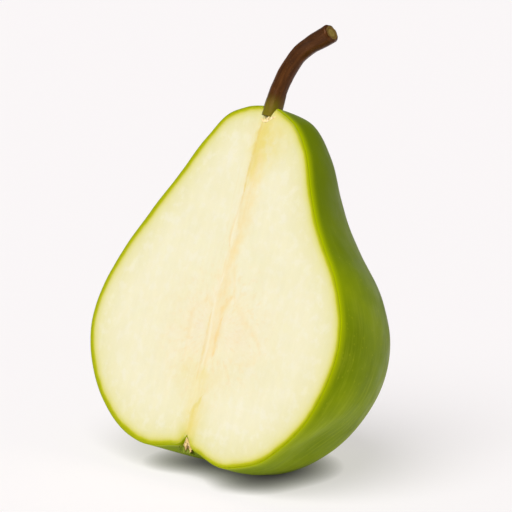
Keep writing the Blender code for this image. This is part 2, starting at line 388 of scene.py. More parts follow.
def line_field(points, landmarks, width):
    """Distance of each point of the cut face to one side of a fine line, in the line's own widths.

    The line runs smoothly through its landmarks, given as (across, up) in mm, and thins at its ends.
    """
    path = smooth_curve(np.array(landmarks) * MM, 6)
    flat = points[:, (0, 2)]
    nearest = np.full(len(flat), np.inf)
    field = np.full(len(flat), 100.0)
    spans = len(path) - 1
    for k in range(spans):
        step = path[k + 1] - path[k]
        offset = flat - path[k]
        share = np.clip(offset @ step / (step @ step), 0, 1)
        distance = np.linalg.norm(offset - share[:, None] * step, axis=1)
        closer = distance < nearest
        nearest = np.where(closer, distance, nearest)
        side = np.sign(offset[:, 0] * step[1] - offset[:, 1] * step[0])
        taper = 0.3 + 0.7 * np.sin(pi * (k + share) / spans) ** 0.6
        field = np.where(closer, side * distance / (width * MM * taper), field)
    return field


def write_flesh_fields(mesh, rim_loop):
    """How deep each point of the flesh is under the skin, and how far from each fine line of the core."""
    points = pear_points(mesh)
    flat = (1, 0, 1)
    write_attribute(mesh, "rim", distance_to_loop(points * flat, rim_loop * flat))
    for index, (landmarks, width, _, _) in enumerate(CORE_LINES):
        write_attribute(mesh, f"line_{index}", line_field(points, landmarks, width))


def rounds_along(path, around):
    """For a tube along a path: the way ahead, a ring's angles, and the directions to its points.

    The rings turn as little as possible from one point of the path to the next.
    """
    ways = unit(np.gradient(path, axis=0))
    side = unit(np.cross(ways[0], (0.0, 1.0, 0.0)))
    sides = []
    for way in ways:
        side = unit(side - way * (side @ way))
        sides.append(side)
    sides = np.array(sides)
    ups = np.cross(ways, sides)
    angles = np.linspace(0, 2 * pi, around, endpoint=False)
    rounds = np.cos(angles)[None, :, None] * sides[:, None] + np.sin(angles)[None, :, None] * ups[:, None]
    return ways, angles, rounds


def tube_faces(rows, around, foot, tip):
    """The quads of a tube, and the triangles that close its foot and its tip."""
    faces = [face[::-1] for face in grid_faces(rows, around, closed=True)]
    last = (rows - 1) * around
    for k in range(around):
        after = (k + 1) % around
        faces.append((after, k, foot))
        faces.append((last + k, last + after, tip))
    return faces


def tube_around(path, radii, around):
    """A closed tube along a path, as points and faces."""
    _, _, rounds = rounds_along(path, around)
    tube = path[:, None] + rounds * np.asarray(radii)[:, None, None]
    points = np.vstack([tube.reshape(-1, 3), path[:1], path[-1:]])
    return points, tube_faces(len(path), around, len(points) - 2, len(points) - 1)


def stem_widths(path):
    """The stem's radius at each point of its middle line."""
    along = np.linspace(0, len(STEM_FLARE) - 1, len(path))
    width = np.interp(along, range(len(STEM_FLARE)), STEM_FLARE)
    kernel = np.hanning(31) / np.hanning(31).sum()
    return STEM_RADIUS * np.convolve(np.pad(width, 15, mode="edge"), kernel, mode="valid")


def hollow_cutters(materials):
    """The stem's socket and the notch in front of it, as meshes to take out of the flesh."""
    path = smooth_curve(STEM_POINTS, STEM_STEPS)
    path[0] -= (0.0, 0.0, SOCKET_GAP)
    tube = tube_around(path, stem_widths(path) + SOCKET_GAP, STEM_AROUND)
    socket = new_mesh("socket", *tube, materials)
    share = np.linspace(0, 1, 24)[:, None]
    path = np.array(NOTCH_FOOT) * (1 - share) + np.array(NOTCH_TOP) * share
    radii = NOTCH_FOOT_RADIUS + (NOTCH_TOP_RADIUS - NOTCH_FOOT_RADIUS) * share[:, 0]
    points, faces = tube_around(path, radii, 72)
    ragged = 0.22 * uneven(points, 900, 4.0) + 0.16 * uneven(points, 2300, 9.0)
    middle = np.array(NOTCH_FOOT) + (points - NOTCH_FOOT) * (0, 0, 1)
    points = points + unit(points - middle + 1e-9) * (ragged * MM)[:, None]
    notch = new_mesh("notch", points, faces, materials)
    for cutter in (socket, notch):
        make_faces_point_out(cutter)
        cutter.polygons.foreach_set("material_index", np.ones(len(cutter.polygons), np.int32))
    return socket, notch


def make_body(skin, rim_loop, materials):
    """Skin and flesh as one closed mesh: the skin's grid, and rings from its rim to the heart."""
    rows, columns = skin.shape[:2]
    # The first and last rows are single points: the crown and the top of the basin.
    inner = skin[1:-1].reshape(-1, 3)
    crown, basin = len(inner), len(inner) + 1
    points = [inner, skin[:1, 0], skin[-1:, 0]]
    faces = grid_faces(rows - 2, columns)
    last = (rows - 3) * columns
    for column in range(columns - 1):
        faces.append((crown, column, column + 1))
        faces.append((basin, last + column + 1, last + column))
    skin_faces = len(faces)

    right = [row * columns for row in range(rows - 2)]
    left = [row * columns + columns - 1 for row in range(rows - 2)]
    rim = [crown, *right, basin, *reversed(left)]
    count = len(rim)

    heart = np.array(HEART)
    shares = (np.arange(1, FLESH_RINGS) / FLESH_RINGS) ** 1.4
    rings = heart + (rim_loop - heart) * (1 - shares)[:, None, None]
    waves = uneven(rings, 90, 5.0) * 0.07 * MM + uneven(rings, 420, 1.0) * 0.02 * MM
    fade = np.clip(shares / 0.03, 0, 1)[:, None]
    rings[..., 1] += (waves - 0.05 * MM) * fade
    first_ring = len(inner) + 2
    points += [rings.reshape(-1, 3), heart[None]]
    middle = first_ring + rings.shape[0] * count
    for k in range(count):
        after = (k + 1) % count
        faces.append((rim[k], rim[after], first_ring + after, first_ring + k))
        for ring in range(rings.shape[0] - 1):
            low = first_ring + ring * count
            faces.append((low + k, low + after, low + count + after, low + count + k))
        low = first_ring + (rings.shape[0] - 1) * count
        faces.append((low + k, low + after, middle))

    whole = new_mesh("whole_half", np.vstack(points), faces, materials)
    index = np.zeros(len(whole.polygons), np.int32)
    index[skin_faces:] = 1
    whole.polygons.foreach_set("material_index", index)
    mesh = carved("pear_body", whole, hollow_cutters(materials))
    write_flesh_fields(mesh, rim_loop)
    return new_piece("pear_body", mesh, ["pear_half"])


def sheet(front, back):
    """A thin closed sheet, as points and faces: two grids of points, and a strip round their borders."""
    rows, columns = front.shape[:2]
    count = rows * columns
    faces = [face[::-1] for face in grid_faces(rows, columns)]
    faces += grid_faces(rows, columns, first=count)
    border = [row * columns for row in range(rows)]
    border += [count - columns + column for column in range(1, columns)]
    border += [row * columns + columns - 1 for row in range(rows - 2, -1, -1)]
    border += range(columns - 2, 0, -1)
    for here, after in zip(border, border[1:] + border[:1]):
        faces.append((here, after, count + after, count + here))
    return np.vstack([front.reshape(-1, 3), back.reshape(-1, 3)]), faces


def make_torn_flesh(material):
    """A ragged sliver of flesh, left standing in the notch before the stem's foot."""
    across, up = TORN_ACROSS, TORN_UP
    s = np.linspace(0, 1, across)[:, None]
    t = np.linspace(0, 1, up)[None]
    foot = smooth_curve(np.array(TORN_FOOT) * MM, 9)
    foot = foot[np.linspace(0, len(foot) - 1, across).round().astype(int)]
    # An arch with large and small tears, in mm.
    height = (0.35 + 0.5 * np.sin(pi * s) + 0.35 * np.sin(9 * s) ** 2 + 0.2 * np.sin(23 * s + 1)) * MM
    front = np.zeros((across, up, 3))
    front[..., 0] = foot[:, :1] + 0.12 * MM * np.sin(14 * s) * t
    front[..., 1] = -0.1 * MM + 0.3 * MM * t**2
    front[..., 2] = foot[:, 1:] + height * t
    back = front + np.array((0, TORN_THICKNESS, 0)) * (1.15 - t[..., None])
    mesh = new_mesh("torn_flesh", *sheet(front, back), [material])
    make_faces_point_out(mesh)
    return new_piece("torn_flesh", mesh, [])


def make_faces_point_out(mesh):
    shape = bmesh.new()
    shape.from_mesh(mesh)
    bmesh.ops.recalc_face_normals(shape, faces=shape.faces)
    shape.to_mesh(mesh)
    shape.free()


def make_calyx(material):
    """The dry calyx, cut in two: a leaning hollow cone with a torn, frayed mouth."""
    rows, around = CALYX_ROWS, CALYX_AROUND
    turn = np.linspace(0, pi, around)[None]
    down = np.linspace(0, 1, rows)[:, None]
    fray = 0.16 * np.cos(5 * turn) + 0.1 * np.cos(11 * turn + 1) + 0.06 * np.cos(23 * turn)
    outer = CALYX_RADIUS * (0.06 + 0.94 * down**0.85) * (1 + 0.05 * np.cos(9 * turn + 4 * down))
    opening = np.clip(down - CALYX_HOLLOW_START, 0, 1)
    inner = CALYX_RADIUS * CALYX_HOLLOW * opening / (1 - CALYX_HOLLOW_START)
    low = CALYX_TOP - down * CALYX_HEIGHT * (1 + fray * down**3)

    def ring_points(radius, height):
        x = radius * np.cos(turn) + CALYX_LEAN * (CALYX_TOP - height)
        return np.stack([x + CALYX_ASIDE, radius * np.sin(turn) - CALYX_PROUD, height + 0 * turn], -1)

    outside = ring_points(outer, low)
    inside = ring_points(inner, low)[rows // 2:]
    shell = np.concatenate([outside, inside[::-1]])
    apex = len(shell) * around
    point = (CALYX_ASIDE, -CALYX_PROUD, CALYX_TOP + CALYX_POINT)
    points = np.vstack([shell.reshape(-1, 3), point])
    faces = grid_faces(len(shell), around)
    faces += [(apex, k, k + 1) for k in range(around - 1)]
    # The cut section: its two legs beside the hollow, then the solid part above them.
    last = len(shell) - 1
    solid_rows = rows - len(inside)
    for column in (0, around - 1):
        for step in range(len(inside) - 1):
            outer_row, inner_row = rows - 1 - step, rows + step
            corners = (outer_row, outer_row - 1, inner_row + 1, inner_row)
            faces.append(tuple(row * around + column for row in corners))
    for row in range(solid_rows):
        faces.append((row * around, (row + 1) * around, (row + 2) * around - 1, (row + 1) * around - 1))
    faces.append((apex, 0, around - 1))
    middle = last * around
    faces.append((solid_rows * around, middle, middle + around - 1, (solid_rows + 1) * around - 1))
    faces.append(tuple(middle + k for k in range(around)))
    mesh = new_mesh("dry_calyx", points, faces, [material])
    shape = bmesh.new()
    shape.from_mesh(mesh)
    bmesh.ops.remove_doubles(shape, verts=shape.verts, dist=0.001 * MM)
    shape.to_mesh(mesh)
    shape.free()
    make_faces_point_out(mesh)
    return new_piece("dry_calyx", mesh, ["calyx"])


def make_sepal(name, degrees, length, curl, material):
    """A dry sepal: a thin leaf with a raised midrib, whose tip rolls up on itself."""
    along, across = SEPAL_ALONG, SEPAL_ACROSS
    t = np.linspace(0, 1, along)
    s = np.linspace(-1, 1, across)
    # It rolls little at its foot and more towards its tip.
    bends = np.full(along - 1, curl / (along - 1)) * (0.3 + 1.4 * t[1:])
    heading = np.cumsum(np.append(0, bends))
    step = length / (along - 1)
    out = np.cumsum(np.sin(heading)) * step
    down = np.cumsum(np.cos(heading)) * step
    half = 0.5 * SEPAL_WIDTH * (1 - SEPAL_TAPER * t**1.3) * (1 + 0.08 * np.sin(17 * t + degrees))
    rib = SEPAL_RIB * np.exp(-((s / 0.25) ** 2)) + SEPAL_FOLD * np.cos(9 * s)
    cup = SEPAL_CUP * s**2
    middle = np.stack([0 * t, out, -down], -1)
    facing = np.stack([0 * t, np.cos(heading), np.sin(heading)], -1)
    leaf_points = middle[:, None] + facing[:, None] * (rib - cup)[None, :, None]
    leaf_points[..., 0] = half[:, None] * s[None]
    thickness = SEPAL_THICKNESS * (0.34 - 0.2 * t)
    front = leaf_points + facing[:, None] * thickness[:, None, None] / 2
    back = leaf_points - facing[:, None] * thickness[:, None, None] / 2
    points, faces = sheet(back, front)
    angle = radians(degrees)
    turn = np.array(Matrix.Rotation(angle - pi / 2, 3, "Z"))
    foot = np.array((SEPAL_RING * cos(angle) + SEPAL_ASIDE, SEPAL_RING * sin(angle), SEPAL_FOOT))
    mesh = new_mesh(name, points @ turn.T + foot, faces, [material])
    make_faces_point_out(mesh)
    return new_piece(name + "_leaf", mesh, [name])


def make_stem(materials):
    """The stem: a tube with soft ridges, a flared foot and a rounded, cut tip."""
    around = STEM_AROUND
    path = smooth_curve(STEM_POINTS, STEM_STEPS)
    width = stem_widths(path)
    ways, angles, rounds = rounds_along(path, around)
    share = np.linspace(0, 1, len(path))
    ridges = 0.016 * np.cos(5 * angles[None] + 2.5 * share[:, None])
    ridges = ridges + 0.008 * np.cos(9 * angles[None] - 4 * share[:, None])
    tube = path[:, None] + rounds * (width[:, None] * (1 + ridges))[..., None]
    lumps = 0.09 * uneven(tube, 380, 2.0) + 0.02 * uneven(tube, 1500, 6.0)
    tube = tube + rounds * (lumps * MM)[..., None]

    # The tip: a rounded edge, then a face that dips a little towards its pith.
    rings = []
    for inset, ahead in STEM_TIP:
        ring = path[-1] + (tube[-1] - path[-1]) * inset + ways[-1] * ahead * MM
        rings.append(ring + ways[-1] * (0.05 * MM * np.cos(7 * angles + 9 * inset))[:, None])
    pith = path[-1] + ways[-1] * STEM_PITH_AHEAD
    points = np.vstack([tube.reshape(-1, 3), *rings, pith, path[0]])
    rows = len(path) + len(rings)
    tip, foot = len(points) - 2, len(points) - 1
    mesh = new_mesh("pear_stem", points, tube_faces(rows, around, foot, tip), materials)
    first_tip = (len(path) + STEM_TIP_BARK) * around
    for polygon in mesh.polygons:
        if min(polygon.vertices) >= first_tip and foot not in polygon.vertices:
            polygon.material_index = 1
    distance = np.repeat(np.concatenate([share, np.ones(len(rings))]), around)
    write_attribute(mesh, "along", np.append(distance, (1.0, 0.0)))
    turn = np.tile(angles, rows)
    write_attribute(mesh, "turn_x", np.append(np.cos(turn), (0.0, 0.0)))
    write_attribute(mesh, "turn_y", np.append(np.sin(turn), (0.0, 0.0)))
    core = np.linalg.norm(points - path[-1], axis=1) / STEM_RADIUS
    write_attribute(mesh, "core", core)
    return new_piece("pear_stem", mesh, ["stem"])


# Materials.


class Pattern:
    """A material made of nodes. Each method adds one node and returns its output."""

    def __init__(self, name):
        self.material = bpy.data.materials.new(name)
        self.material.use_nodes = True
        self.tree = self.material.node_tree
        self.shader = self.tree.nodes["Principled BSDF"]

    def add(self, kind, inputs=(), **settings):
        node = self.tree.nodes.new(kind)
        for name, value in settings.items():
            setattr(node, name, value)
        for key, value in dict(inputs).items():
            self.set(node.inputs[key], value)
        return node

    def set(self, socket, value):
        if isinstance(value, bpy.types.NodeSocket):
            self.tree.links.new(value, socket)
        elif isinstance(value, tuple) and len(value) == 3 and socket.type == "RGBA":
            socket.default_value = (*value, 1.0)
        else:
            socket.default_value = value

    def shade(self, **values):
        for name, value in values.items():
            self.set(self.shader.inputs[name.replace("_", " ")], value)

    def attribute(self, name):
        return self.add("ShaderNodeAttribute", attribute_name=name).outputs["Fac"]

    def place(self):
        """Each point's place about the pear's own axis."""
        back = place.inverted()
        mapping = self.add("ShaderNodeMapping", {"Location": back.translation, "Rotation": back.to_euler()})
        self.set(mapping.inputs["Vector"], self.add("ShaderNodeTexCoord").outputs["Object"])
        return mapping.outputs[0]

    def parts(self, vector):
        return self.add("ShaderNodeSeparateXYZ", {0: vector}).outputs

    def vector(self, x, y, z):
        return self.add("ShaderNodeCombineXYZ", {0: x, 1: y, 2: z}).outputs[0]

    def math(self, operation, *values, clamp=False):
        node = self.add("ShaderNodeMath", dict(enumerate(values)), operation=operation, use_clamp=clamp)
        return node.outputs[0]

    def plus(self, first, second):
        return self.math("ADD", first, second)

    def minus(self, first, second):
        return self.math("SUBTRACT", first, second)

    def times(self, first, second):
        return self.math("MULTIPLY", first, second)

    def length(self, across, up):
        """How long the step is that goes so far across and so far up."""
        return self.math("SQRT", self.plus(self.times(across, across), self.times(up, up)))

    def noise(self, vector, scale, detail=2.0, roughness=0.5):
        inputs = {"Vector": vector, "Scale": scale, "Detail": detail, "Roughness": roughness}
        return self.add("ShaderNodeTexNoise", inputs).outputs["Fac"]

    def fibres(self, where, squeeze, scale):
        """Fine noise, drawn out along the pear's axis."""
        long = self.add("ShaderNodeVectorMath", {0: where, 1: (1.0, 1.0, squeeze)}, operation="MULTIPLY")
        return self.noise(long.outputs[0], scale, 4, 0.6)

    def remap(self, value, low, high, start=0.0, end=1.0):
        inputs = {0: value, 1: low, 2: high, 3: start, 4: end}
        return self.add("ShaderNodeMapRange", inputs, interpolation_type="SMOOTHSTEP").outputs[0]

    def patches(self, where, scale, low, high, detail=3, roughness=0.5):
        """Noise that runs from 0 at its value low to 1 at its value high."""
        return self.remap(self.noise(where, scale, detail, roughness), low, high)

    def mix(self, share, first, second, blend="MIX"):
        node = self.add("ShaderNodeMix", data_type="RGBA", blend_type=blend)
        self.set(node.inputs[0], share)
        self.set(node.inputs[6], first)
        self.set(node.inputs[7], second)
        return node.outputs[2]

    def laid(self, colour, share, strength, over):
        """The colour, with some of another one laid over it."""
        return self.mix(self.times(share, strength), colour, over)

    def ramp(self, value, stops):
        node = self.add("ShaderNodeValToRGB", {0: value})
        ends = node.color_ramp.elements
        while len(ends) < len(stops):
            ends.new(0.5)
        for element, (position, colour) in zip(ends, stops):
            element.position = position
            element.color = (*colour, 1.0)
        return node.outputs[0]

    def curve(self, value, stops):
        """A smooth line through (value, result) pairs, both from 0 to 1."""
        node = self.add("ShaderNodeFloatCurve", {"Value": value})
        points = node.mapping.curves[0].points
        while len(points) < len(stops):
            points.new(0.5, 0.5)
        for point, stop in zip(points, stops):
            point.location = stop
        node.mapping.update()
        return node.outputs[0]

    def bell(self, value, width):
        """1 where value is 0, falling to nothing a few widths away."""
        share = self.math("DIVIDE", value, width)
        return self.math("POWER", 2.718, self.times(self.times(share, share), -1.0))

    def finished(self, colour, roughness, gloss, relief, strength, depth):
        """The material, with its colour and gloss, and a relief of the given strength and depth."""
        inputs = {"Height": relief, "Strength": strength, "Distance": depth}
        bump = self.add("ShaderNodeBump", inputs).outputs[0]
        self.shade(Base_Color=colour, Roughness=roughness, Specular_IOR_Level=gloss, Normal=bump)
        return self.material


def paint(red, green, blue):
    """A colour as a screen shows it, from 0 to 255, made linear."""
    shares = np.array((red, green, blue)) / 255
    linear = np.where(shares <= 0.04045, shares / 12.92, ((shares + 0.055) / 1.055) ** 2.4)
    return tuple(float(value) for value in linear)


# How much light the cut face and the skin get. Their colours are divided by it, so that they come
# out of the render about as they are written here. A higher value gives a darker picture.
FLESH_LIGHT = 1.25
SKIN_LIGHT = 0.97


def dimmed(colour, light):
    return tuple(value / light for value in colour)


FAN_MIDDLE = (1.5 * MM, 27 * MM)  # (across, up), where the fibres fan out from
FAN_REACH = 8 * MM
RIM_REACH = 9 * MM  # how deep the skin's green reaches into the flesh
RIM_WOBBLE = 0.5 * MM
LEFT_RIM_EXTRA = 0.4 * MM  # how much deeper it reaches at the left
RIM_COLOURS = (  # mm under the skin, colour
    (0.0, (172, 180, 2)),
    (0.3, (182, 188, 10)),
    (0.55, (206, 205, 52)),
    (0.9, (226, 221, 124)),
    (1.4, (234, 229, 156)),
    (2.3, (239, 234, 178)),
    (3.6, (242, 237, 189)),
    (5.4, (245, 240, 199)),
    (8.5, (248, 243, 208)),
)
CORE_SPOTS = (  # across, up, width and height in mm, strength, colour
    (1.5, 27, 17, 11, 0.4, (250, 236, 196)),
    (-10, 26, 5, 8, 0.3, (250, 236, 200)),
    (-3.9, 27.5, 2.6, 6.0, 0.45, (251, 234, 204)),
    (7.4, 27.5, 5.4, 4.6, 0.45, (251, 233, 200)),
    (-4.0, 17.5, 4.6, 3.6, 0.55, (244, 228, 150)),
    (4.0, 18.0, 5.0, 4.0, 0.4, (248, 232, 176)),
    (0.3, 9.0, 3.6, 5.5, 0.5, (240, 228, 140)),
    (0.2, 4.6, 3.2, 2.2, 0.6, (222, 214, 84)),
    (7.0, 69.0, 4.0, 5.0, 0.5, (238, 229, 150)),
    (0.8, 62.0, 2.4, 8.0, 0.3, (246, 234, 168)),
)


def flesh_material():
    """Cream flesh, green under the skin, with a warm core, its fibres and the faint carpels."""
    pattern = Pattern("pear_flesh")
    where = pattern.place()
    x, _, z = pattern.parts(where)
    wobble = pattern.minus(pattern.noise(where, 260, 3), 0.5)
    height = pattern.math("DIVIDE", z, HEIGHT)

    def tint(red, green, blue):
        return dimmed(paint(red, green, blue), FLESH_LIGHT)

    def spot(across, up, wide, tall):
        """1 at a place given in mm, fading out over an oval of the given size."""
        right = pattern.math("DIVIDE", pattern.minus(x, across * MM), wide * MM)
        over = pattern.math("DIVIDE", pattern.minus(z, up * MM), tall * MM)
        return pattern.bell(pattern.length(right, over), 1.0)

    def laid(colour, share, strength, over):
        return pattern.laid(colour, share, strength, tint(*over))

    # The rim's green, from the skin inwards, wider on the left.
    rim = pattern.plus(pattern.attribute("rim"), pattern.times(wobble, RIM_WOBBLE))
    left = pattern.remap(x, 2 * MM, -20 * MM, 0.0, LEFT_RIM_EXTRA)
    rim = pattern.minus(rim, left)
    stops = [(at * MM / RIM_REACH, tint(*colour)) for at, colour in RIM_COLOURS]
    colour = pattern.ramp(pattern.math("DIVIDE", rim, RIM_REACH, clamp=True), stops)

    # Cloudy paler patches, and greener ones, both kept back from the rim.
    cloud = pattern.patches(where, 420, 0.46, 0.66, 3, 0.55)
    deep = pattern.remap(rim, 1.2 * MM, 4 * MM)
    colour = laid(colour, pattern.times(cloud, deep), 0.4, (252, 249, 231))
    shade = pattern.patches(where, 130, 0.4, 0.66)
    colour = laid(colour, pattern.times(shade, deep), 0.3, (241, 236, 190))

    # The core: a warm zone round the carpels, and their slightly pink insides.
    patchy = pattern.math("MULTIPLY_ADD", pattern.patches(where, 330, 0.35, 0.68), 0.5, 0.5)
    for across, up, wide, tall, strength, over in CORE_SPOTS:
        share = pattern.times(spot(across, up, wide, tall), patchy)
        colour = laid(colour, share, strength, over)

    # Fibres that fan out from the carpels.
    across = pattern.minus(x, FAN_MIDDLE[0])
    over = pattern.minus(z, FAN_MIDDLE[1])
    turn = pattern.math("ARCTAN2", over, across)
    away = pattern.length(across, over)
    fan = pattern.noise(pattern.vector(turn, pattern.times(away, 60), 0.0), 9, 3, 0.6)
    ring = pattern.bell(pattern.minus(away, FAN_REACH), FAN_REACH)
    warm_fan = pattern.times(ring, pattern.remap(fan, 0.5, 0.68))
    colour = laid(colour, warm_fan, 0.4, (249, 227, 172))
    pale_fan = pattern.times(ring, pattern.remap(fan, 0.46, 0.32))
    colour = laid(colour, pale_fan, 0.3, (254, 247, 222))

    # Fine fibres beside the axis.
    bundle_stops = ((0.0, 0.0), (0.08, 0.5), (0.3, 0.75), (0.45, 0.9), (0.7, 0.9), (0.9, 0.6), (1.0, 0.4))
    aside = pattern.plus(x, pattern.times(wobble, 1.0 * MM))
    bundle = pattern.times(pattern.bell(aside, 2.6 * MM), pattern.curve(height, bundle_stops))
    thread_place = pattern.vector(aside, 0.0, pattern.times(z, 0.035))
    threads = pattern.noise(thread_place, 1500, 3, 0.6)
    dark = pattern.times(bundle, pattern.remap(threads, 0.48, 0.7))
    colour = laid(colour, dark, 0.4, (247, 224, 162))
    pale = pattern.times(bundle, pattern.remap(threads, 0.5, 0.3))
    colour = laid(colour, pale, 0.35, (255, 248, 224))

    # The lines that can be told apart: vessels and the carpels' walls.
    waver = pattern.times(pattern.minus(pattern.noise(where, 700, 3), 0.5), 1.6)
    broken = pattern.remap(pattern.noise(where, 480, 2), 0.3, 0.6, 0.55, 1.0)
    for index, (_, _, over, strength) in enumerate(CORE_LINES):
        line = pattern.bell(pattern.plus(pattern.attribute(f"line_{index}"), waver), 1.0)
        colour = laid(colour, pattern.times(line, broken), strength, over)

    # Grain: long faint fibres, and the small grit of stone cells.
    grain = pattern.fibres(where, 0.18, 650)
    grit = pattern.noise(where, 2100, 2)
    tone = pattern.math("MULTIPLY_ADD", grain, 0.06, 0.97)
    tone = pattern.plus(tone, pattern.math("MULTIPLY_ADD", grit, 0.03, -0.015))
    colour = pattern.mix(1.0, colour, pattern.vector(tone, tone, tone), blend="MULTIPLY")

    wet = pattern.remap(pattern.noise(where, 900, 3), 0.3, 0.7, 0.36, 0.52)
    relief = pattern.plus(pattern.times(grain, 0.7), pattern.times(grit, 0.3))
    pattern.shade(Subsurface_Weight=0.2, Subsurface_Radius=(1.0, 0.8, 0.35), Subsurface_Scale=0.8 * MM)
    pattern.shade(IOR=1.4)
    return pattern.finished(colour, wet, 0.1, relief, 0.35, 0.06 * MM)


def skin_material():
    """Yellow-green waxy skin: mottled, streaked lengthways, with pores, a painted glow of light at the cut
    edge and a painted sheen towards the back.
    """
    pattern = Pattern("pear_skin")
    where = pattern.place()
    x, y, z = pattern.parts(where)
    height = pattern.math("DIVIDE", z, HEIGHT)
    around = pattern.math("ARCTAN2", y, x)

    def tint(red, green, blue):
        return dimmed(paint(red, green, blue), SKIN_LIGHT)

    mottle = pattern.noise(where, 60, 4, 0.55)
    stops = ((0.3, tint(104, 124, 0)), (0.5, tint(122, 142, 0)), (0.72, tint(139, 157, 0)))
    colour = pattern.ramp(mottle, stops)

    # Painted highlight: the skin is made paler towards the back, where its far edge catches the bright
    # surroundings.
    back = pattern.remap(y, 17 * MM, 38 * MM)
    colour = pattern.laid(colour, back, 0.4, tint(172, 182, 48))

    # Lighter streaks that run from end to end, strongest low on the belly.
    lines = pattern.vector(pattern.times(around, 0.03), 0.0, pattern.times(z, 0.09))
    streaks = pattern.remap(pattern.noise(lines, 1100, 3, 0.6), 0.46, 0.7)
    belly = pattern.bell(pattern.minus(height, 0.2), 0.28)
    streak_share = pattern.times(streaks, pattern.math("MULTIPLY_ADD", belly, 0.25, 0.1))
    colour = pattern.mix(streak_share, colour, tint(166, 178, 40))

    # Pores.
    cells = pattern.add("ShaderNodeTexVoronoi", {"Vector": where, "Scale": 620.0, "Randomness": 1.0})
    pores = pattern.remap(cells.outputs["Distance"], 0.20, 0.10)
    colour = pattern.laid(colour, pores, 0.3, tint(163, 172, 30))

    # A thin russet film at the stem's foot and in the calyx basin.
    russet = pattern.plus(pattern.remap(height, 0.965, 1.01), pattern.remap(height, 0.075, 0.02))
    russet = pattern.times(russet, pattern.remap(pattern.length(x, y), 7 * MM, 2 * MM))
    russet = pattern.times(russet, pattern.patches(where, 700, 0.45, 0.65, 4, 0.65))
    colour = pattern.laid(colour, russet, 0.5, tint(140, 112, 30))

    # Darker green towards the neck.
    neck = pattern.remap(height, 0.5, 0.8)
    colour = pattern.laid(colour, neck, 0.7, tint(98, 116, 0))

    # Painted light: the skin is made brighter near the cut edge, for the light that comes through the flesh
    # there.
    edge = pattern.remap(y, 3 * MM, 0.0)
    edge = pattern.times(edge, edge)
    colour = pattern.laid(colour, edge, 0.9, tint(168, 182, 0))

    wax = pattern.remap(pattern.noise(where, 220, 3), 0.3, 0.7, 0.38, 0.5)
    relief = pattern.plus(pattern.times(mottle, 0.2), pattern.noise(where, 1300, 3))
    relief = pattern.minus(relief, pattern.times(pores, 0.5))
    pattern.shade(Specular_Tint=(0.8, 1.0, 0.1))
    return pattern.finished(colour, wax, 0.03, relief, 0.22, 0.08 * MM)


def bark_material():
    """Reddish-brown bark with lengthways streaks, olive at the foot."""
    pattern = Pattern("stem_bark")
    along = pattern.attribute("along")
    turn_x, turn_y = pattern.attribute("turn_x"), pattern.attribute("turn_y")
    lines = pattern.vector(turn_x, turn_y, pattern.times(along, 2.2))
    streaks = pattern.noise(lines, 2.6, 4, 0.55)
    stops = ((0.3, paint(48, 22, 0)), (0.5, paint(64, 33, 2)), (0.7, paint(82, 46, 12)))
    colour = pattern.ramp(streaks, stops)
    foot = pattern.remap(pattern.plus(along, pattern.times(streaks, 0.12)), 0.34, 0.08)
    colour = pattern.mix(foot, colour, paint(106, 98, 14))
    specks = pattern.add("ShaderNodeTexVoronoi", {"Vector": pattern.place(), "Scale": 1500.0})
    dots = pattern.remap(specks.outputs["Distance"], 0.25, 0.12)
    colour = pattern.laid(colour, dots, 0.2, paint(128, 88, 50))
    fine = pattern.noise(lines, 14, 4, 0.6)
    relief = pattern.plus(pattern.times(streaks, 0.6), pattern.times(fine, 0.4))
    shine = pattern.remap(fine, 0.3, 0.7, 0.32, 0.46)
    pattern.shade(Specular_Tint=(1.0, 0.5, 0.3))
    return pattern.finished(colour, shine, 0.45, relief, 0.35, 0.12 * MM)


def tip_material():
    """The stem's cut tip: pale fibrous wood in a darker ring of bark."""
    pattern = Pattern("stem_tip")
    core = pattern.attribute("core")
    fibres = pattern.noise(pattern.place(), 2600, 3, 0.6)
    ring = pattern.plus(core, pattern.times(fibres, 0.16))
    stops = (
        (0.0, paint(96, 72, 24)),
        (0.22, paint(132, 112, 50)),
        (0.5, paint(140, 120, 58)),
        (0.68, paint(104, 80, 30)),
        (0.9, paint(122, 98, 46)),
        (1.0, paint(68, 42, 14)),
    )
    colour = pattern.ramp(ring, stops)
    return pattern.finished(colour, 0.85, 0.15, fibres, 0.6, 0.12 * MM)


def calyx_material():
    """Dry papery tissue: cream and buff, brown along its edges, with painted shade low in its hollow."""
    pattern = Pattern("dry_calyx")
    where = pattern.place()
    x, y, z = pattern.parts(where)
    fibres = pattern.fibres(where, 0.25, 3200)
    stops = ((0.3, paint(196, 158, 84)), (0.5, paint(228, 198, 132)), (0.68, paint(240, 220, 168)))
    colour = pattern.ramp(fibres, stops)
    stain = pattern.patches(where, 1400, 0.5, 0.68)
    colour = pattern.laid(colour, stain, 0.5, paint(178, 122, 40))
    # Painted shade: dark brown low in the middle of the hollow's mouth.
    low = pattern.remap(z, CALYX_TOP - 0.62 * CALYX_HEIGHT, CALYX_TOP - 0.9 * CALYX_HEIGHT)
    middle = pattern.bell(pattern.minus(x, 1.0 * MM), 0.5 * MM)
    colour = pattern.mix(pattern.times(low, middle), colour, paint(96, 58, 10))
    behind = pattern.remap(y, 0.1 * MM, 0.5 * MM)
    colour = pattern.laid(colour, behind, 0.8, paint(120, 84, 26))
    return pattern.finished(colour, 0.85, 0.15, fibres, 0.7, 0.1 * MM)


def sepal_material():
    """A withered green leaf: olive, lighter along its veins, brown where it has dried."""
    pattern = Pattern("sepal_green")
    where = pattern.place()
    veins = pattern.fibres(where, 0.3, 2600)
    stops = ((0.3, paint(84, 104, 8)), (0.5, paint(122, 142, 22)), (0.7, paint(172, 184, 82)))
    colour = pattern.ramp(veins, stops)
    dry = pattern.patches(where, 1100, 0.54, 0.68)
    colour = pattern.laid(colour, dry, 0.6, paint(150, 112, 44))
    return pattern.finished(colour, 0.75, 0.2, veins, 0.6, 0.1 * MM)


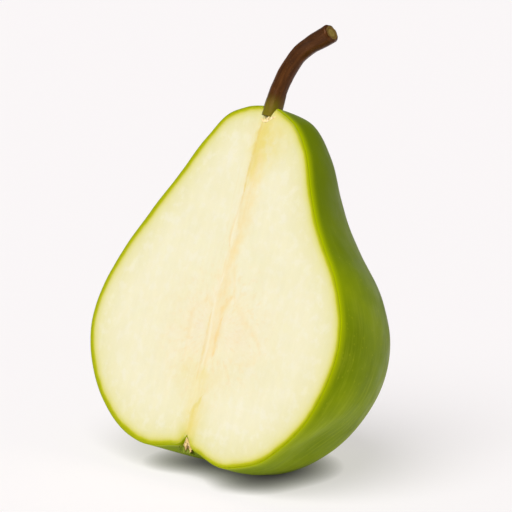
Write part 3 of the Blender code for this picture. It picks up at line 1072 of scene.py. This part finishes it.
def torn_material():
    """Torn flesh that has dried a little: cream and pink, browned in specks."""
    pattern = Pattern("torn_flesh")
    where = pattern.place()
    fibres = pattern.fibres(where, 0.4, 2400)
    stops = ((0.3, paint(222, 186, 112)), (0.5, paint(242, 218, 158)), (0.7, paint(248, 234, 192)))
    colour = pattern.ramp(fibres, stops)
    brown = pattern.patches(where, 1500, 0.56, 0.68, 2)
    colour = pattern.laid(colour, brown, 0.7, paint(160, 104, 40))
    return pattern.finished(colour, 0.6, 0.25, fibres, 0.5, 0.08 * MM)


# The surroundings.


FLOOR_COLOUR = (0.43, 0.422, 0.427)
FLOOR_GLOW = 0.55  # painted light: the floor glows by itself, though it is no lamp, so that its mid grey looks pale
GLOW_REACH = 5 * MM  # how near a thing has to be to darken that glow, which paints a contact shadow


def make_floor():
    """A mid-grey floor that glows by itself, with a painted shadow near what stands on it, wide enough to
    fill every view.
    """
    bpy.ops.mesh.primitive_grid_add(x_subdivisions=8, y_subdivisions=8, size=60.0)
    floor = bpy.context.object
    floor.name = "floor"
    pattern = Pattern("pale_floor")
    soft = pattern.noise(pattern.place(), 3, 2)
    tone = pattern.mix(soft, FLOOR_COLOUR, tuple(value * 1.004 for value in FLOOR_COLOUR))
    # Painted shadow: the glow is darkened wherever something is within GLOW_REACH.
    outside_painted_shadow = pattern.add("ShaderNodeAmbientOcclusion", {"Distance": GLOW_REACH}).outputs["AO"]
    glow_with_painted_shadow = pattern.times(outside_painted_shadow, FLOOR_GLOW)
    pattern.shade(Base_Color=tone, Roughness=0.9, Specular_IOR_Level=0.0)
    pattern.shade(Emission_Color=(1.0, 0.965, 0.975), Emission_Strength=glow_with_painted_shadow)
    floor.data.materials.append(pattern.material)


BAND_STRENGTH = 0.93
BAND_TOP = 0.1  # how high the band reaches, as the sine of the angle above the horizon
DOME_STRENGTH = 0.18
DOME_START = 0.3  # where the dome starts, measured in the same way
SUN_STRENGTH = 2.83
SUN_WIDTH = radians(50)
TOWARDS_SUN = (0.153, -0.552, 0.819)


def make_light():
    """A bright band low round the horizon, a dimmer dome above it, and one large soft light in front."""
    world = bpy.data.worlds.new("daylight")
    world.use_nodes = True
    tree = world.node_tree
    background = tree.nodes["Background"]
    parts = tree.nodes.new("ShaderNodeSeparateXYZ")
    tree.links.new(tree.nodes.new("ShaderNodeTexCoord").outputs["Generated"], parts.inputs[0])
    rise = tree.nodes.new("ShaderNodeMapRange")
    rise.interpolation_type = "SMOOTHSTEP"
    for socket, value in enumerate((BAND_TOP, DOME_START, BAND_STRENGTH, DOME_STRENGTH), start=1):
        rise.inputs[socket].default_value = value
    tree.links.new(parts.outputs["Z"], rise.inputs[0])
    tree.links.new(rise.outputs[0], background.inputs["Strength"])
    background.inputs["Color"].default_value = (1.0, 0.985, 0.985, 1.0)
    bpy.context.scene.world = world
    sun = bpy.data.lights.new("soft_light", "SUN")
    sun.energy = SUN_STRENGTH
    sun.angle = SUN_WIDTH
    sun.color = (1.0, 0.985, 0.97)
    lamp = bpy.data.objects.new("soft_light", sun)
    lamp.rotation_euler = Vector(TOWARDS_SUN).to_track_quat("Z", "Y").to_euler()
    bpy.context.scene.collection.objects.link(lamp)


CAMERA_AZIMUTH = radians(45.5)
CAMERA_ELEVATION = radians(10)
CAMERA_DISTANCE = 504 * MM
FIELD_OF_VIEW = radians(12)
AIM = (3.56 * MM, 4.24 * MM, 44.21 * MM)  # about the pear's axis


def make_camera():
    camera = bpy.data.cameras.new("camera")
    camera.angle = FIELD_OF_VIEW
    camera.clip_start = 10 * MM
    item = bpy.data.objects.new("camera", camera)
    level = CAMERA_DISTANCE * cos(CAMERA_ELEVATION)
    back = Vector((
        level * sin(CAMERA_AZIMUTH),
        -level * cos(CAMERA_AZIMUTH),
        CAMERA_DISTANCE * sin(CAMERA_ELEVATION),
    ))
    item.location = place @ Vector(AIM) + back
    item.rotation_euler = back.to_track_quat("Z", "Y").to_euler()
    bpy.context.scene.collection.objects.link(item)
    bpy.context.scene.camera = item


skin_shape = skin_grid()
place = find_place(skin_shape)
pear_skin = rest_flat(round_rim(roughened(skin_shape)))
make_body(pear_skin, rim_of(pear_skin), [skin_material(), flesh_material()])
make_torn_flesh(torn_material())
make_stem([bark_material(), tip_material()])
make_calyx(calyx_material())
leaf = sepal_material()
for sepal in SEPALS:
    make_sepal(*sepal, leaf)
make_floor()
make_light()
make_camera()
bpy.context.scene.view_settings.view_transform = "Standard"
